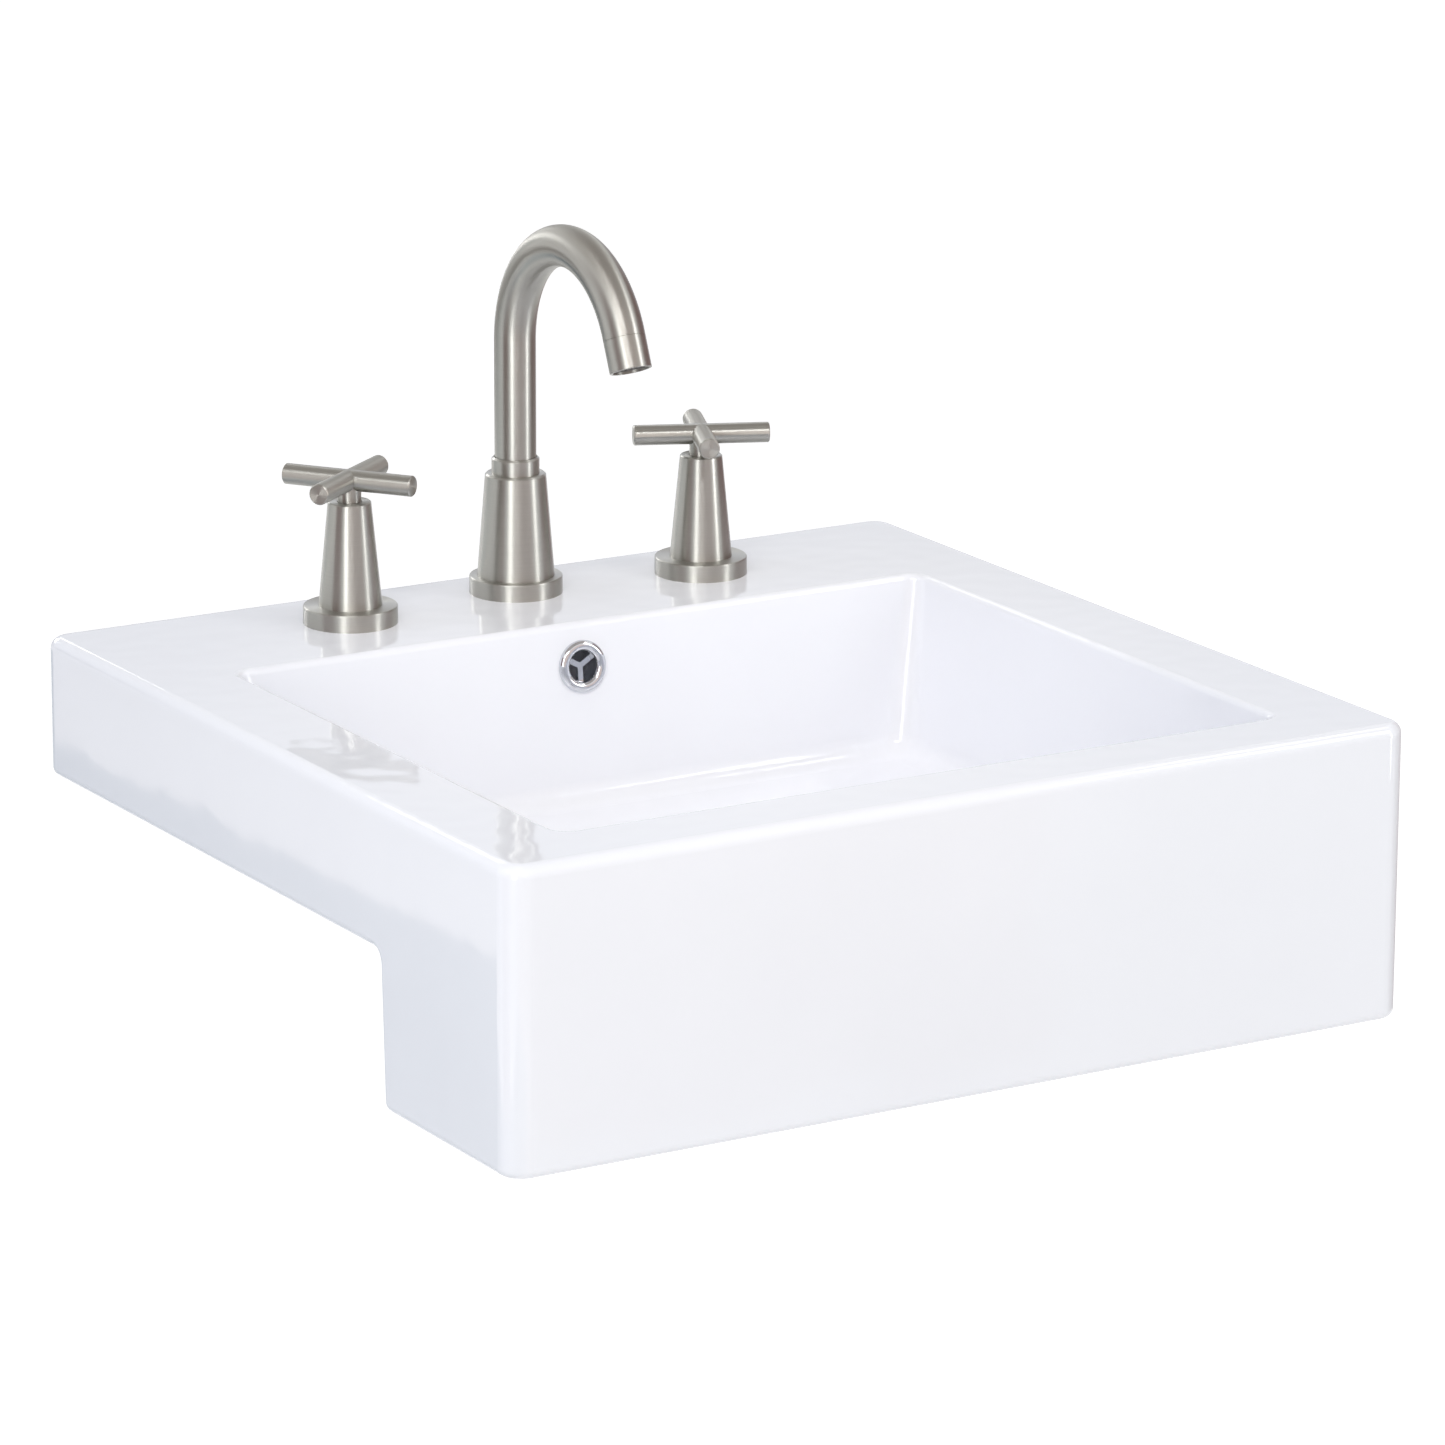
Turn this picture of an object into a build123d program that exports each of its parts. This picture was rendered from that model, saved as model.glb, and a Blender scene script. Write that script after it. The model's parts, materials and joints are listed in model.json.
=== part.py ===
from build123d import *
import os

# A semi-recessed wash basin with a three-hole faucet, in millimetres.
# The origin is where the drain's centre line meets the counter top. +X is right, +Y is the wall, +Z is up.

# Basin outside
basin_width = 491.0
basin_depth = 475.5
slab_height = 71.0  # rim above the counter
block_drop = 76.0  # front block below the counter
block_depth = 124.5
corner_radius = 12.0
rim_radius = 6.0
foot_radius = 4.5
notch_radius = 6.0
heel_radius = 5.5  # lower back edge of the front block
heel_lean = 3.5  # how far the block's back leans in at its foot

# Basin china
side_rim = 49.0
back_deck = 113.0
front_rim = 41.5
china = 11.0
deck_thickness = 12.0
ledge_width = 22.0
ledge_height = 13.0
hollow_corner = 6.0

# Bowl
bowl_corner = 8.0
bowl_edge_radius = 3.5
bowl_depth = 89.5  # rim to the foot of the walls
floor_fall = 15.0  # foot of the walls to the drain
side_lean = 15.0  # how far the side walls lean in
end_lean = 12.0  # how far the front and back walls lean in
floor_corner = 14.0
floor_radius = 13.0

# Overflow
overflow_drop = 22.0  # rim to the middle of the ring
overflow_side = -3.4  # the hole is punched a little left of the middle
overflow_hole = 21.0
overflow_bezel = 26.5
overflow_opening = 15.6
bezel_rise = 3.0
bezel_round = 2.6
sleeve_length = 8.0
spider_width = 2.8
spider_sink = 2.0
spider_turn = 30.0
spoke_bite = 1.0  # how far a spoke runs into the wall that holds it
duct_width = 30.0
duct_depth = 12.0
duct_wall = 6.0
duct_bend = 20.0
duct_foot_drop = 2.0

# Drain
drain_hole = 45.0
drain_pad = 70.0
pad_flat = 2.0  # straight stretch left on each side of the round pad
boss_diameter = 78.0
boss_height = 20.0
drain_flange = 64.0
drain_flange_height = 3.0
drain_flange_edge = 1.0
drain_thread = 41.5
drain_bore = 35.0
drain_length = 62.0
tail_diameter = 31.75  # slip joint of a common trap
tail_wall = 1.4
tail_length = 44.0
tail_thread = 10.0
window_width = 13.0
window_height = 8.0
hub_diameter = 16.0
hub_height = 8.0
hub_drop = 34.0  # floor to the hub's top
spoke_width = 4.0
spoke_count = 3
seal_thickness = 2.0
drain_gasket_height = 9.0
drain_gasket_diameter = 60.0
drain_gasket_lip = 1.0
slip_washer_thickness = 2.0
drain_nut_flats = 55.0
drain_nut_height = 11.0
latch_diameter = 11.0
latch_head = 14.0
latch_head_height = 6.0
latch_height = 22.0
plunger_diameter = 6.0
plunger_grip = 14.0  # plunger inside the latch
stopper_diameter = 58.0
stopper_edge = 3.0
stopper_crown = 4.0
stopper_boss = 12.0
stopper_boss_height = 8.0
stopper_seal_outer = 50.0
stopper_seal_inner = 40.0
stopper_seal_thickness = 1.5

# Faucet layout on the deck
handle_spacing = 203.2  # the common eight inch set
handle_setback = 55.0  # wall face to the handles' line
spout_setback = 42.5
deck_hole = 35.0
hot_turn = 36.5  # rest angle of the hot cross handle
cold_turn = 66.5

# Deck fittings, alike on all three holes
flange_diameter = 47.5
flange_height = 9.0
flange_edge = 0.8
shank_diameter = 24.0
flange_gasket_outer = 43.0
flange_gasket_inner = 37.0
flange_gasket_thickness = 2.0
deck_gasket_diameter = 45.0
deck_gasket_thickness = 3.0
deck_washer_diameter = 43.0
deck_washer_thickness = 2.0
lock_nut_flats = 36.0
lock_nut_height = 9.0
spigot_rise = 3.0  # centring spigot on top of each flange
base_spigot_wall = 2.0

# Valves
shank_rise = 20.0  # above the deck
barrel_diameter = 30.0
barrel_top = 42.0  # below the deck
barrel_height = 34.0
inlet_diameter = 20.9  # half inch pipe thread
inlet_length = 17.0
inlet_bore = 11.0
outlet_diameter = 15.8
outlet_reach = 34.0
outlet_bore = 9.0
outlet_drop = 55.0
pocket_diameter = 19.0
pocket_depth = 66.0  # below the deck
seat_seal_thickness = 3.0
cartridge_diameter = 17.0
cartridge_wall = 1.2
cartridge_thread_length = 12.0
bonnet_flats = 20.5
bonnet_height = 8.0
neck_diameter = 13.0
neck_height = 11.0
disc_thickness = 4.0
port_diameter = 3.6
port_circle = 7.5
key_width = 3.0
key_length = 10.0
key_depth = 1.5
stem_diameter = 8.0
stem_foot = 5.0
cartridge_window = 7.0

# Handles
cone_foot = 32.0
cone_head = 21.7
cone_height = 53.0
cone_wall = 1.8
cone_cap = 3.0
hub_neck = 12.0
hub_neck_sink = 12.0  # below the cone's top
cross_height = 72.8  # bars' centre above the deck
bar_diameter = 10.6
bar_length = 70.0
bar_edge = 0.6
stem_overlap = 4.0  # stem end below the top of the bars
set_screw_diameter = 3.5
set_screw_height = 64.7
set_screw_sink = 0.3
cone_edge = 0.5

# Spout
base_foot = 39.5
base_wall = 2.5  # round the collar's thread
base_height = 53.0
base_edge = 0.8
socket_diameter = 18.0
shank_bore = 12.0
shank_drop = 58.0
base_thread = 12.0
collar_wall = 1.3
collar_step = 0.8  # the collar's thread stands this much proud of its head
collar_height = 8.5
collar_chamfer = 1.0
collar_skirt = 4.0
spigot_flange_height = 3.0
spigot_room = 3.9  # spigot's end above the shank
spigot_plug = 10.0
spigot_bore = 10.0
groove_depth = 2.0
groove_width = 2.6
tube_diameter = 21.2
tube_wall = 2.2
bend_radius = 57.0
bend_angle = 157.0
bend_height = 131.1  # bend's centre above the deck
tip_length = 1.2  # straight end of the tube
aerator_length = 16.5
aerator_edge = 0.4
aerator_plug = 3.0
aerator_lip = 1.6
core_height = 7.0
core_hole = 1.8
core_hole_spacing = 2.6
core_rings = 2
core_ring_holes = 6  # in the first ring, and as many more in each next one
core_recess = 1.2
aerator_washer_thickness = 1.8
tee_diameter = 30.0
tee_height = 36.0
tee_socket = 12.0
tee_reach = 30.0
tee_nipple_drop = 24.0

# Clearances
running_gap = 0.05
turning_gap = 0.3
seat_gap = 0.1
hair = 0.01  # how near a face or edge lies to a level to count as on it

# Places worked out from the sizes above
bowl_width = basin_width - 2 * side_rim
bowl_length = basin_depth - back_deck - front_rim
back_y = bowl_length / 2 + back_deck
front_y = back_y - basin_depth
block_back_y = front_y + block_depth
heel_y = block_back_y - heel_lean
floor_z = slab_height - bowl_depth
drain_z = floor_z - floor_fall
boss_z = drain_z - china - boss_height
deck_under_z = slab_height - deck_thickness
valve_y = back_y - handle_setback
spout_y = back_y - spout_setback
deck_seats = (
    Plane((-handle_spacing / 2, valve_y, slab_height)),
    Plane((handle_spacing / 2, valve_y, slab_height)),
    Plane((0, spout_y, slab_height)),
)

STANDING = (Align.CENTER, Align.CENTER, Align.MIN)
HANGING = (Align.CENTER, Align.CENTER, Align.MAX)

os.makedirs("parts", exist_ok=True)


def keep(piece, name):
    """Label a finished piece and write it as its own file."""
    piece.part.label = name
    export_step(piece.part, f"parts/{name}.step")


def washer(plane, height, outer, inner, thickness):
    """A flat ring that stands at a height above a plane."""
    with BuildPart(plane.offset(height)) as ring:
        Cylinder(outer / 2, thickness, align=STANDING)
        Cylinder(inner / 2, thickness, align=STANDING, mode=Mode.SUBTRACT)
    return ring


def hex_nut(plane, height, flats, bore, thickness):
    """A six-sided nut that stands at a height above a plane."""
    with BuildPart() as nut:
        with BuildSketch(plane.offset(height)):
            RegularPolygon(flats / 2, 6, major_radius=False)
            Circle(bore / 2, mode=Mode.SUBTRACT)
        extrude(amount=thickness)
    return nut


# Bowl: the same form makes the inside and, grown by the wall, the underside
def bowl_form(skin):
    """Leaning walls on a floor that falls to the drain, grown all round by a skin."""
    foot = floor_z - skin
    with BuildPart() as form:
        with BuildSketch(Plane.XY.offset(slab_height)):
            RectangleRounded(bowl_width + 2 * skin, bowl_length + 2 * skin, bowl_corner + skin)
        with BuildSketch(Plane.XY.offset(foot)):
            RectangleRounded(
                bowl_width - 2 * side_lean + 2 * skin,
                bowl_length - 2 * end_lean + 2 * skin,
                floor_corner + skin,
            )
        loft(ruled=True)
        with BuildSketch(Plane.XY.offset(foot)):
            RectangleRounded(
                bowl_width - 2 * side_lean + 2 * skin,
                bowl_length - 2 * end_lean + 2 * skin,
                floor_corner + skin,
            )
        with BuildSketch(Plane.XY.offset(drain_z - skin)):
            RectangleRounded(drain_pad, drain_pad, (drain_pad - pad_flat) / 2)
        loft(ruled=True)
        around_foot = form.edges().filter_by_position(Axis.Z, foot - hair, foot + hair)
        fillet(around_foot, floor_radius + skin)
    return form


bowl_space = bowl_form(0)
bowl_shell = bowl_form(china)

# Overflow: a duct behind the bowl, from the ring down to the drain hole
overflow_z = slab_height - overflow_drop
wall_lean = end_lean / bowl_depth
overflow_y = bowl_length / 2 - overflow_drop * wall_lean
duct_offset = china + duct_depth / 2
duct_top_y = bowl_length / 2 + duct_offset
duct_foot_y = bowl_length / 2 - end_lean + duct_offset
duct_foot_z = floor_z - china - duct_depth / 2 - duct_foot_drop
duct_end_z = boss_z + duct_wall + duct_depth / 2
bowl_wall_face = Plane(
    (overflow_side, overflow_y, overflow_z), x_dir=(1, 0, 0), z_dir=(0, -1, wall_lean)
)


def duct_form(width, depth, top):
    """A rectangular pipe down the back of the bowl and under its floor to the drain."""
    with BuildPart() as pipe:
        with BuildLine(Plane.YZ) as route:
            FilletPolyline(
                (duct_top_y, top),
                (duct_foot_y, duct_foot_z),
                (0, duct_end_z),
                radius=duct_bend,
            )
        with BuildSketch(Plane(route.line @ 0, x_dir=(1, 0, 0), z_dir=route.line % 0)):
            Rectangle(width, depth)
        sweep(path=route.line)
    return pipe


duct_shell = duct_form(
    duct_width + 2 * duct_wall, duct_depth + 2 * duct_wall, slab_height - deck_thickness / 2
)
duct_space = duct_form(duct_width, duct_depth, deck_under_z)

# Basin body: one china casting, open underneath
with BuildPart() as basin_body:
    with BuildSketch(Plane.XY.offset(-block_drop)):
        with Locations((0, (front_y + back_y) / 2)):
            RectangleRounded(basin_width, basin_depth, corner_radius)
    extrude(amount=block_drop + slab_height)
    with BuildSketch(Plane.YZ):
        Polygon(
            (block_back_y, 0),
            (heel_y, -block_drop),
            (back_y, -block_drop),
            (back_y, 0),
            align=None,
        )
    extrude(amount=basin_width / 2, both=True, mode=Mode.SUBTRACT)
    heel_edge = basin_body.edges().filter_by(Axis.X).filter_by_position(
        Axis.Y, heel_y - hair, heel_y + hair
    )
    fillet(heel_edge, heel_radius)
    notch_edge = basin_body.edges().filter_by(Axis.X).filter_by_position(
        Axis.Y, block_back_y - hair, block_back_y + hair
    )
    fillet(notch_edge, notch_radius)
    under_faces = basin_body.faces().filter_by(lambda f: f.bounding_box().max.Z < hair)
    side_faces = basin_body.faces() - under_faces
    fillet(under_faces.edges() & side_faces.edges(), foot_radius)
    top_face = basin_body.faces().sort_by(Axis.Z)[-1]
    fillet(top_face.outer_wire().edges(), rim_radius)
    # Hollows behind and in front of the web that joins the slab to the front block
    hollows = (
        (ledge_width, 0, ledge_height, block_back_y, back_y - ledge_width),
        (china, ledge_height, deck_under_z, block_back_y, back_y - china),
        (china, -block_drop, deck_under_z, front_y + china, block_back_y - china),
    )
    for inset, bottom, top, near, far in hollows:
        with BuildSketch(Plane.XY.offset(bottom)):
            with Locations((0, (near + far) / 2)):
                RectangleRounded(basin_width - 2 * inset, far - near, hollow_corner)
        extrude(amount=top - bottom, mode=Mode.SUBTRACT)
    add(bowl_shell.part)
    add(duct_shell.part)
    with Locations((0, 0, boss_z)):
        Cylinder(boss_diameter / 2, drain_z - boss_z, align=STANDING)
    add(bowl_space.part, mode=Mode.SUBTRACT)
    add(duct_space.part, mode=Mode.SUBTRACT)
    with Locations((0, 0, drain_z)):
        Cylinder(drain_hole / 2, drain_z - boss_z, align=HANGING, mode=Mode.SUBTRACT)
        Cylinder(drain_flange / 2 + seat_gap, seal_thickness, align=HANGING, mode=Mode.SUBTRACT)
    with Locations(bowl_wall_face):
        Cylinder(overflow_hole / 2, 2 * (china + duct_depth / 2), mode=Mode.SUBTRACT)
    with Locations(*[hole.origin for hole in deck_seats]):
        Cylinder(deck_hole / 2, deck_thickness, align=HANGING, mode=Mode.SUBTRACT)
    top_face = basin_body.faces().sort_by(Axis.Z)[-1]
    fillet(top_face.inner_wires().sort_by(SortBy.LENGTH)[-1].edges(), bowl_edge_radius)
keep(basin_body, "basin_body")

# Overflow ring: a domed bezel, a sleeve in the china and a three-armed spider
with BuildPart(bowl_wall_face) as overflow_ring:
    Cylinder(overflow_bezel / 2, bezel_rise, align=STANDING)
    Cylinder(overflow_opening / 2, bezel_rise, align=STANDING, mode=Mode.SUBTRACT)
    fillet(overflow_ring.faces().filter_by(GeomType.PLANE).sort_by(Axis.Y)[0].edges(), bezel_round)
    with BuildSketch(bowl_wall_face):
        Circle(overflow_hole / 2 - seat_gap)
        Circle(overflow_opening / 2, mode=Mode.SUBTRACT)
    extrude(amount=-sleeve_length)
    with BuildSketch(bowl_wall_face.offset(-2 * spider_sink)):
        with PolarLocations(overflow_opening / 4, spoke_count, start_angle=spider_turn):
            Rectangle(overflow_opening / 2 + spoke_bite, spider_width)
    extrude(amount=spider_sink)
keep(overflow_ring, "overflow_ring")


# Deck fittings: what clamps each fitting to its hole
def deck_flange(seat, foot_bore):
    """A flange with a recess for its gasket and a low spigot that centres the cone on it."""
    with BuildPart(seat) as flange:
        Cylinder(flange_diameter / 2, flange_height, align=STANDING)
        upper = flange.edges().sort_by(Axis.Z)[-1]
        fillet(upper, flange_edge)
        with Locations((0, 0, flange_height)):
            Cylinder(foot_bore / 2 - seat_gap, spigot_rise, align=STANDING)
        Cylinder(shank_diameter / 2, flange_height + spigot_rise, align=STANDING, mode=Mode.SUBTRACT)
        with BuildSketch(seat):
            Circle(flange_gasket_outer / 2)
            Circle(flange_gasket_inner / 2, mode=Mode.SUBTRACT)
        extrude(amount=flange_gasket_thickness, mode=Mode.SUBTRACT)
    return flange


gasket_z = -deck_thickness - deck_gasket_thickness
washer_z = gasket_z - deck_washer_thickness
lock_nut_z = washer_z - lock_nut_height
cone_taper = (cone_foot - cone_head) / cone_height
cone_bore = cone_foot - 2 * cone_wall - cone_taper * spigot_rise
base_bore = shank_diameter + 2 * base_spigot_wall
for name, seat, foot_bore in zip(("hot", "cold", "spout"), deck_seats, (cone_bore, cone_bore, base_bore)):
    keep(deck_flange(seat, foot_bore), f"{name}_flange")
    flange_gasket = washer(
        seat, 0, flange_gasket_outer, flange_gasket_inner, flange_gasket_thickness
    )
    keep(flange_gasket, f"{name}_flange_gasket")
    deck_gasket = washer(
        seat, gasket_z, deck_gasket_diameter, shank_diameter, deck_gasket_thickness
    )
    keep(deck_gasket, f"{name}_deck_gasket")
    deck_washer = washer(
        seat, washer_z, deck_washer_diameter, shank_diameter, deck_washer_thickness
    )
    keep(deck_washer, f"{name}_deck_washer")
    lock_nut = hex_nut(seat, lock_nut_z, lock_nut_flats, shank_diameter, lock_nut_height)
    keep(lock_nut, f"{name}_lock_nut")

# Valves: a body below the deck, a quarter-turn cartridge in it and a cross handle on its stem
barrel_foot = -barrel_top - barrel_height
seal_top = seat_seal_thickness - pocket_depth
moving_disc_z = seal_top + disc_thickness
stem_foot_z = moving_disc_z + disc_thickness
chamber_top = stem_foot_z + stem_foot + turning_gap
chamber_diameter = cartridge_diameter - 2 * cartridge_wall
bonnet_top = shank_rise + bonnet_height
neck_top = bonnet_top + neck_height
cone_top = flange_height + cone_height
stem_top = cross_height + bar_diameter / 2 - stem_overlap
hub_foot = cone_top - hub_neck_sink

for name, seat, turn, inward in (
    ("hot", deck_seats[0], hot_turn, 90),
    ("cold", deck_seats[1], cold_turn, -90),
):
    with BuildPart(seat) as valve_body:
        with Locations((0, 0, -barrel_top)):
            Cylinder(shank_diameter / 2, barrel_top + shank_rise, align=STANDING)
            Cylinder(barrel_diameter / 2, barrel_height, align=HANGING)
        with Locations((0, 0, barrel_foot)):
            Cylinder(inlet_diameter / 2, inlet_length, align=HANGING)
        with Locations((0, 0, -outlet_drop)):
            Cylinder(outlet_diameter / 2, outlet_reach, rotation=(0, inward, 0), align=STANDING)
        with Locations((0, 0, -pocket_depth)):
            Cylinder(pocket_diameter / 2, pocket_depth + shank_rise, align=STANDING, mode=Mode.SUBTRACT)
            Cylinder(
                inlet_bore / 2,
                inlet_length - pocket_depth - barrel_foot,
                align=HANGING,
                mode=Mode.SUBTRACT,
            )
        with Locations((0, 0, -outlet_drop)):
            Cylinder(
                outlet_bore / 2,
                outlet_reach,
                rotation=(0, inward, 0),
                align=STANDING,
                mode=Mode.SUBTRACT,
            )
    keep(valve_body, f"{name}_valve_body")

    seat_seal = washer(seat, -pocket_depth, cartridge_diameter, inlet_bore, seat_seal_thickness)
    keep(seat_seal, f"{name}_seat_seal")

    with BuildPart(seat) as cartridge:
        with Locations((0, 0, seal_top)):
            Cylinder(cartridge_diameter / 2, shank_rise - seal_top, align=STANDING)
        with Locations((0, 0, shank_rise)):
            Cylinder(pocket_diameter / 2, cartridge_thread_length, align=HANGING)
        with BuildSketch(seat.offset(shank_rise)):
            RegularPolygon(bonnet_flats / 2, 6, major_radius=False)
        extrude(amount=bonnet_height)
        with Locations((0, 0, bonnet_top)):
            Cylinder(neck_diameter / 2, neck_height, align=STANDING)
        with Locations((0, 0, seal_top)):
            Cylinder(chamber_diameter / 2, chamber_top - seal_top, align=STANDING, mode=Mode.SUBTRACT)
            Cylinder(
                stem_diameter / 2 + running_gap,
                neck_top - seal_top,
                align=STANDING,
                mode=Mode.SUBTRACT,
            )
        with Locations((0, 0, -outlet_drop)):
            Cylinder(
                cartridge_window / 2,
                2 * cartridge_diameter,
                rotation=(0, 90, 0),
                mode=Mode.SUBTRACT,
            )
    keep(cartridge, f"{name}_cartridge")

    with BuildPart(seat.offset(seal_top)) as fixed_disc:
        Cylinder(chamber_diameter / 2 - seat_gap, disc_thickness, align=STANDING)
        with PolarLocations(port_circle / 2, 2):
            Cylinder(port_diameter / 2, disc_thickness, align=STANDING, mode=Mode.SUBTRACT)
    keep(fixed_disc, f"{name}_fixed_disc")

    with BuildPart(seat.offset(moving_disc_z)) as moving_disc:
        Cylinder(chamber_diameter / 2 - turning_gap, disc_thickness, align=STANDING)
        with PolarLocations(port_circle / 2, 2, start_angle=90):
            Cylinder(port_diameter / 2, disc_thickness, align=STANDING, mode=Mode.SUBTRACT)
        with Locations((0, 0, disc_thickness)):
            Box(key_length, key_width, key_depth, align=HANGING, mode=Mode.SUBTRACT)
    keep(moving_disc, f"{name}_moving_disc")

    with BuildPart(seat.offset(stem_foot_z)) as stem:
        Cylinder(chamber_diameter / 2 - turning_gap, stem_foot, align=STANDING)
        Cylinder(stem_diameter / 2, stem_top - stem_foot_z, align=STANDING)
        Box(key_length - 2 * seat_gap, key_width - 2 * seat_gap, key_depth - seat_gap, align=HANGING)
    keep(stem, f"{name}_stem")

    with BuildPart(seat.offset(flange_height)) as cone_cover:
        Cone(cone_foot / 2, cone_head / 2, cone_height, align=STANDING)
        inner_height = cone_height - cone_cap
        inner_head = cone_foot - cone_taper * inner_height
        Cone(
            cone_foot / 2 - cone_wall,
            inner_head / 2 - cone_wall,
            inner_height,
            align=STANDING,
            mode=Mode.SUBTRACT,
        )
        Cylinder(hub_neck / 2 + turning_gap, cone_height, align=STANDING, mode=Mode.SUBTRACT)
        rim_edges = cone_cover.edges().group_by(Axis.Z)[-1].sort_by(SortBy.RADIUS)
        chamfer(rim_edges[-1], cone_edge)
    keep(cone_cover, f"{name}_cone_cover")

    screw_seat = Plane(seat.origin + (0, stem_diameter / 2, set_screw_height), z_dir=(0, 1, 0))
    with BuildPart(seat.rotated((0, 0, turn))) as cross_handle:
        with Locations((0, 0, cross_height)):
            Cylinder(bar_diameter / 2, bar_length, rotation=(0, 90, 0))
            Cylinder(bar_diameter / 2, bar_length, rotation=(90, 0, 0))
        bar_ends = cross_handle.faces().filter_by(GeomType.PLANE)
        chamfer(bar_ends.edges(), bar_edge)
        with Locations((0, 0, hub_foot)):
            Cylinder(hub_neck / 2, cross_height - hub_foot, align=STANDING)
            Cylinder(
                stem_diameter / 2 + running_gap,
                stem_top - hub_foot,
                align=STANDING,
                mode=Mode.SUBTRACT,
            )
        with BuildSketch(screw_seat):
            Circle(set_screw_diameter / 2)
        extrude(amount=hub_neck, mode=Mode.SUBTRACT)
    keep(cross_handle, f"{name}_cross_handle")

    with BuildPart(screw_seat) as set_screw:
        Cylinder(set_screw_diameter / 2, (hub_neck - stem_diameter) / 2 - set_screw_sink, align=STANDING)
    keep(set_screw, f"{name}_set_screw")

# Spout: a base that screws onto the shank, and a tube that turns in it
spout_seat = deck_seats[2]
base_top = flange_height + base_height
shank_top = flange_height + base_thread
skirt_foot = base_top - collar_skirt
spigot_foot = skirt_foot - seat_gap - spigot_flange_height
spigot_length = spigot_foot - shank_top - spigot_room
spigot_radius = socket_diameter / 2 - running_gap
collar_diameter = tube_diameter + 2 * (turning_gap + collar_wall)
collar_thread = collar_diameter + 2 * collar_step
base_head = collar_thread + 2 * base_wall
tube_bore = tube_diameter - 2 * tube_wall
tube_foot = spigot_foot + spigot_flange_height

with BuildPart(spout_seat) as spout_shank:
    with Locations((0, 0, -shank_drop)):
        Cylinder(shank_diameter / 2, shank_drop + shank_top, align=STANDING)
        Cylinder(shank_bore / 2, shank_drop + shank_top, align=STANDING, mode=Mode.SUBTRACT)
keep(spout_shank, "spout_shank")

with BuildPart(spout_seat.offset(flange_height)) as spout_base:
    Cone(base_foot / 2, base_head / 2, base_height, align=STANDING)
    chamfer(spout_base.edges().sort_by(Axis.Z)[-1], base_edge)
    Cylinder(base_bore / 2, spigot_rise, align=STANDING, mode=Mode.SUBTRACT)
    Cylinder(shank_diameter / 2, base_thread, align=STANDING, mode=Mode.SUBTRACT)
    Cylinder(socket_diameter / 2, base_height, align=STANDING, mode=Mode.SUBTRACT)
    with Locations((0, 0, base_height)):
        Cylinder(collar_thread / 2, base_top - spigot_foot, align=HANGING, mode=Mode.SUBTRACT)
keep(spout_base, "spout_base")

with BuildPart(spout_seat.offset(skirt_foot)) as spout_collar:
    Cylinder(collar_thread / 2, collar_skirt, align=STANDING)
    Cylinder(collar_diameter / 2, collar_skirt + collar_height, align=STANDING)
    chamfer(spout_collar.edges().sort_by(Axis.Z)[-1], collar_chamfer)
    Cylinder(
        tube_diameter / 2 + turning_gap,
        collar_skirt + collar_height,
        align=STANDING,
        mode=Mode.SUBTRACT,
    )
keep(spout_collar, "spout_collar")

groove_heights = (-spigot_length / 3, -2 * spigot_length / 3)
with BuildPart(spout_seat.offset(spigot_foot)) as spout_spigot:
    Cylinder(collar_thread / 2 - turning_gap, spigot_flange_height, align=STANDING)
    Cylinder(spigot_radius, spigot_length, align=HANGING)
    with Locations((0, 0, spigot_flange_height)):
        Cylinder(tube_bore / 2, spigot_plug, align=STANDING)
    for height in groove_heights:
        with BuildSketch(spout_seat.offset(spigot_foot + height)):
            Circle(spigot_radius)
            Circle(spigot_radius - groove_depth, mode=Mode.SUBTRACT)
        extrude(amount=groove_width / 2, both=True, mode=Mode.SUBTRACT)
    with Locations((0, 0, -spigot_length)):
        Cylinder(
            spigot_bore / 2,
            spigot_length + spigot_flange_height + spigot_plug,
            align=STANDING,
            mode=Mode.SUBTRACT,
        )
keep(spout_spigot, "spout_spigot")

with BuildPart(spout_seat.offset(spigot_foot)) as spout_o_rings:
    with Locations(*[(0, 0, height) for height in groove_heights]):
        Torus(spigot_radius - groove_depth / 2, groove_depth / 2 - running_gap)
keep(spout_o_rings, "spout_o_rings")

spout_plane = Plane(spout_seat.origin, x_dir=(0, 1, 0), z_dir=(1, 0, 0))
with BuildPart() as spout_tube:
    with BuildLine(spout_plane) as spout_line:
        upright = Line((0, tube_foot), (0, bend_height))
        bend = JernArc(upright @ 1, upright % 1, bend_radius, bend_angle)
        Line(bend @ 1, bend @ 1 + (bend % 1) * tip_length)
    with BuildSketch(spout_seat.offset(tube_foot)):
        Circle(tube_diameter / 2)
        Circle(tube_bore / 2, mode=Mode.SUBTRACT)
    sweep(path=spout_line.line)
keep(spout_tube, "spout_tube")

# Aerator: a sleeve on the end of the tube, with its washer and its drilled core
tube_end = Plane(spout_line.line @ 1, x_dir=(1, 0, 0), z_dir=spout_line.line % 1)
core_foot = aerator_length - core_recess - core_height
washer_foot = core_foot - aerator_washer_thickness
core_diameter = tube_diameter - 2 * aerator_lip
with BuildPart(tube_end) as aerator_shell:
    Cylinder(tube_diameter / 2, aerator_length, align=STANDING)
    chamfer(aerator_shell.edges().filter_by(GeomType.CIRCLE), aerator_edge)
    Cylinder(tube_bore / 2, aerator_plug, align=HANGING)
    with Locations((0, 0, -aerator_plug)):
        Cylinder(spigot_bore / 2, aerator_plug + aerator_length, align=STANDING, mode=Mode.SUBTRACT)
    with Locations((0, 0, washer_foot)):
        Cylinder(core_diameter / 2, aerator_length - washer_foot, align=STANDING, mode=Mode.SUBTRACT)
keep(aerator_shell, "aerator_shell")

aerator_washer = washer(tube_end, washer_foot, core_diameter, spigot_bore, aerator_washer_thickness)
keep(aerator_washer, "aerator_washer")

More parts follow.
